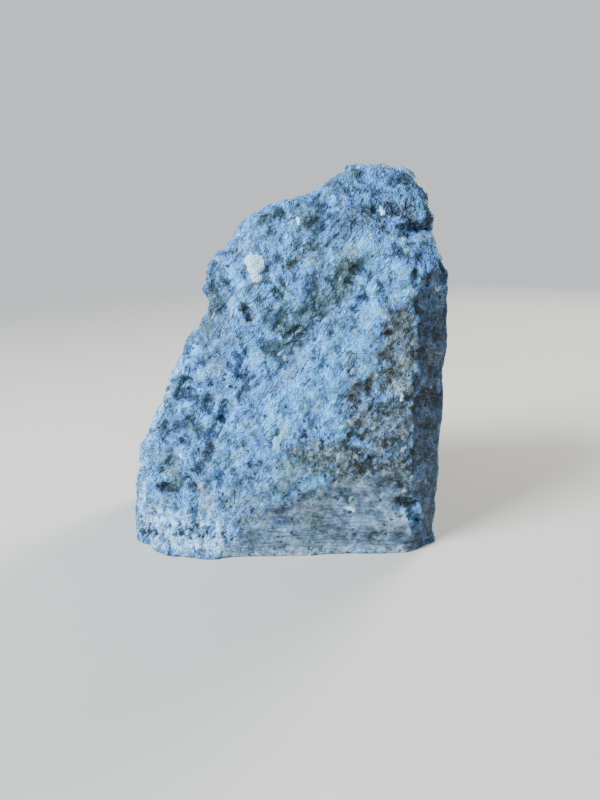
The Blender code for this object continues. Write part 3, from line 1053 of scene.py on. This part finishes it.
def addSawCut(tree, place, tone, colour):
    look = sawCutLook
    high = remap(tree, addNode(tree, "SeparateXYZ", {0: place}).outputs["Z"], *look["highEdge"])
    level = cloud(tree, stonePlace(tree, *look["lowGrain"]), *look["streak"])
    tilted = cloud(tree, stonePlace(tree, *look["highGrain"]), *look["streak"])
    streak = addNode(tree, "Mix", {0: high, 2: level, 3: tilted}).outputs[0]
    broad = cloud(tree, stonePlace(tree, *look["broadGrain"]), *look["broad"])
    sawTone = addUp(tree, (tone, streak, broad), look["toneShares"])
    sawTone = calc(tree, "MULTIPLY_ADD", painted(tree, "pale"), look["paleTone"], sawTone)
    olive = remap(tree, cloud(tree, place, *look["olive"]), *look["oliveEdge"])
    tint = blend(tree, olive, look["tint"], look["oliveTint"])
    sawColour = blend(tree, 1.0, ramp(tree, sawTone, stoneLook["grey"]), tint, "MULTIPLY")
    ragged = cloud(tree, place, *look["ragged"])
    mask = remap(tree, addUp(tree, (painted(tree, "sawn"), ragged), look["shares"]), *look["edge"])
    return blend(tree, calc(tree, "MULTIPLY", mask, look["cover"]), colour, sawColour), mask, streak


# specks: dark ones in clusters, and white flakes, a few loose ones and those that are painted
speckLook = {
    "dark": (0.008, 0.014, 0.020, 1),
    "darkSize": 3.6,
    "darkWave": (1.5, 1.6),
    "darkEdge": (0.15, 0.22, 1.0, 0.0),
    "darkCover": 0.85,
    "cluster": (9, 1),
    "clusterEdge": (0.44, 0.56),
    "white": (0.80, 1.00, 1.00, 1),
    "whiteSize": 5,
    "whiteGrain": ((1, 1, 1.6), (0, 34, 0)),
    "whiteWave": (1.8, 3.0),
    "whiteEdge": (0.08, 0.20, 1.0, 0.0),
    "rareEdge": (0.60, 0.70),
    "looseShare": 0.6,
    "whiteCover": 0.92,
    "ragged": (1.6, 2),
    "shares": (1.0, 0.7),
    "edge": (0.42, 0.56),
}


def addSpecks(tree, place, colour):
    look = speckLook
    cluster = remap(tree, cloud(tree, place, *look["cluster"]), *look["clusterEdge"])
    speck = cells(tree, bend(tree, place, *look["darkWave"]), look["darkSize"])
    speck = calc(tree, "MULTIPLY", remap(tree, speck, *look["darkEdge"]), cluster)
    colour = blend(tree, calc(tree, "MULTIPLY", speck, look["darkCover"]), colour, look["dark"])
    flakes = bend(tree, stonePlace(tree, *look["whiteGrain"]), *look["whiteWave"])
    rare = remap(tree, cells(tree, flakes, look["whiteSize"], "Color"), *look["rareEdge"])
    loose = remap(tree, cells(tree, flakes, look["whiteSize"]), *look["whiteEdge"])
    loose = calc(tree, "MULTIPLY", calc(tree, "MULTIPLY", loose, rare), look["looseShare"])
    ragged = cloud(tree, place, *look["ragged"])
    drawn = remap(tree, addUp(tree, (painted(tree, "crystal"), ragged), look["shares"]), *look["edge"])
    white = calc(tree, "MAXIMUM", loose, drawn)
    return blend(tree, calc(tree, "MULTIPLY", white, look["whiteCover"]), colour, look["white"]), speck, white


# relief below the mesh's own grain, softer on the saw cut, with its height in millimetres
reliefLook = {
    "height": 1.5,
    "fine": (0.6, 2),
    "brokenShares": (0.45, 0.9, 0.5),  # flakes, grit and fine grain
    "sawnShares": (0.8, 0.3),  # streaks and grit
    "speck": -0.4,
    "fissure": -0.5,
    "white": 0.2,
}


def makeStone():
    look = stoneLook
    material = bpy.data.materials.new("soapstone")
    material.use_nodes = True
    tree = material.node_tree
    shader = tree.nodes["Principled BSDF"]
    place = stonePlace(tree)
    tone, flake, grit, fissure = stoneTone(tree, place)
    teal = remap(tree, cloud(tree, place, *look["tealCloud"]), *look["tealEdge"])
    colour = blend(tree, teal, ramp(tree, tone, look["blue"]), ramp(tree, tone, look["teal"]))
    colour = addPatches(tree, place, tone, colour)
    colour, sawn, streak = addSawCut(tree, place, tone, colour)
    colour, speck, white = addSpecks(tree, place, colour)
    tree.links.new(colour, shader.inputs["Base Color"])
    tree.links.new(remap(tree, grit, *look["gritEdge"], *look["roughness"]), shader.inputs["Roughness"])

    look = reliefLook
    broken = addUp(tree, (flake, grit, cloud(tree, place, *look["fine"])), look["brokenShares"])
    smooth = addUp(tree, (streak, grit), look["sawnShares"])
    height = addNode(tree, "Mix", {0: sawn, 2: broken, 3: smooth}).outputs[0]
    for name, value in (("speck", speck), ("fissure", fissure), ("white", white)):
        height = calc(tree, "MULTIPLY_ADD", value, look[name], height)
    bump = addNode(tree, "Bump", {"Height": height, "Strength": 1.0, "Distance": look["height"] * mm})
    tree.links.new(bump.outputs["Normal"], shader.inputs["Normal"])
    return material


block.data.materials.clear()
block.data.materials.append(makeStone())
print("stone coloured")

# stage: a plain pale floor and soft light, in metres and watts
stageLook = {
    "floorRadius": 4.0,
    "floorSides": 96,
    "floorColour": (0.72, 0.55, 0.39, 1),
    "floorRoughness": 0.9,
    "fadeFrom": 0.20,
    "fadeTo": 1.00,
    "skyColour": (0.48, 0.69, 1.0, 1),
    "skyStrength": 0.41,
    "backdrop": (0.74, 0.77, 0.80, 1),
    "lights": {
        "key": {"place": (-0.80, -0.50, 0.85), "size": 0.5, "power": 51.0, "colour": (0.52, 0.72, 1.0)},
        "fill": {"place": (0.80, 0.90, 0.70), "size": 0.6, "power": 34.0, "colour": (0.72, 0.85, 1.0)},
    },
}


def makeFloor():
    deselectAll()
    bpy.ops.mesh.primitive_circle_add(
        vertices=stageLook["floorSides"], radius=stageLook["floorRadius"], fill_type="NGON"
    )
    floor = bpy.context.object
    floor.name = "floor"
    material = bpy.data.materials.new("pale floor")
    material.use_nodes = True
    shader = material.node_tree.nodes["Principled BSDF"]
    shader.inputs["Base Color"].default_value = stageLook["floorColour"]
    shader.inputs["Roughness"].default_value = stageLook["floorRoughness"]
    floor.data.materials.append(material)

    # far from the stone it fades into the backdrop, so that no horizon shows
    tree = material.node_tree
    place = addNode(tree, "TexCoord", {}).outputs["Object"]
    away = addNode(tree, "VectorMath", {0: place}, operation="LENGTH").outputs["Value"]
    fade = remap(tree, away, stageLook["fadeFrom"], stageLook["fadeTo"])
    backdrop = addNode(tree, "Emission", {"Color": stageLook["backdrop"]})
    mixed = addNode(tree, "MixShader", {0: fade, 1: shader.outputs[0], 2: backdrop.outputs[0]})
    tree.links.new(mixed.outputs[0], tree.nodes["Material Output"].inputs["Surface"])


# the sky lights the stone softly, and stands behind it as a plain pale backdrop
def makeSky():
    world = bpy.data.worlds.new("sky")
    world.use_nodes = True
    tree = world.node_tree
    sky = tree.nodes["Background"]
    sky.inputs["Color"].default_value = stageLook["skyColour"]
    sky.inputs["Strength"].default_value = stageLook["skyStrength"]
    backdrop = addNode(tree, "Background", {"Color": stageLook["backdrop"]})
    seen = addNode(tree, "LightPath", {}).outputs["Is Camera Ray"]
    mixed = addNode(tree, "MixShader", {0: seen, 1: sky.outputs[0], 2: backdrop.outputs[0]})
    tree.links.new(mixed.outputs[0], tree.nodes["World Output"].inputs["Surface"])
    bpy.context.scene.world = world


def makeLights():
    for name, light in stageLook["lights"].items():
        data = bpy.data.lights.new(name, "AREA")
        data.shape = "DISK"
        data.size = light["size"]
        data.energy = light["power"]
        data.color = light["colour"]
        lamp = bpy.data.objects.new(name, data)
        bpy.context.scene.collection.objects.link(lamp)
        lamp.location = light["place"]
        lamp.rotation_euler = (-lamp.location).to_track_quat("-Z", "Y").to_euler()


makeFloor()
makeSky()
makeLights()
print("stage set")

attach(block, "root")
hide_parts("soapstone_block")
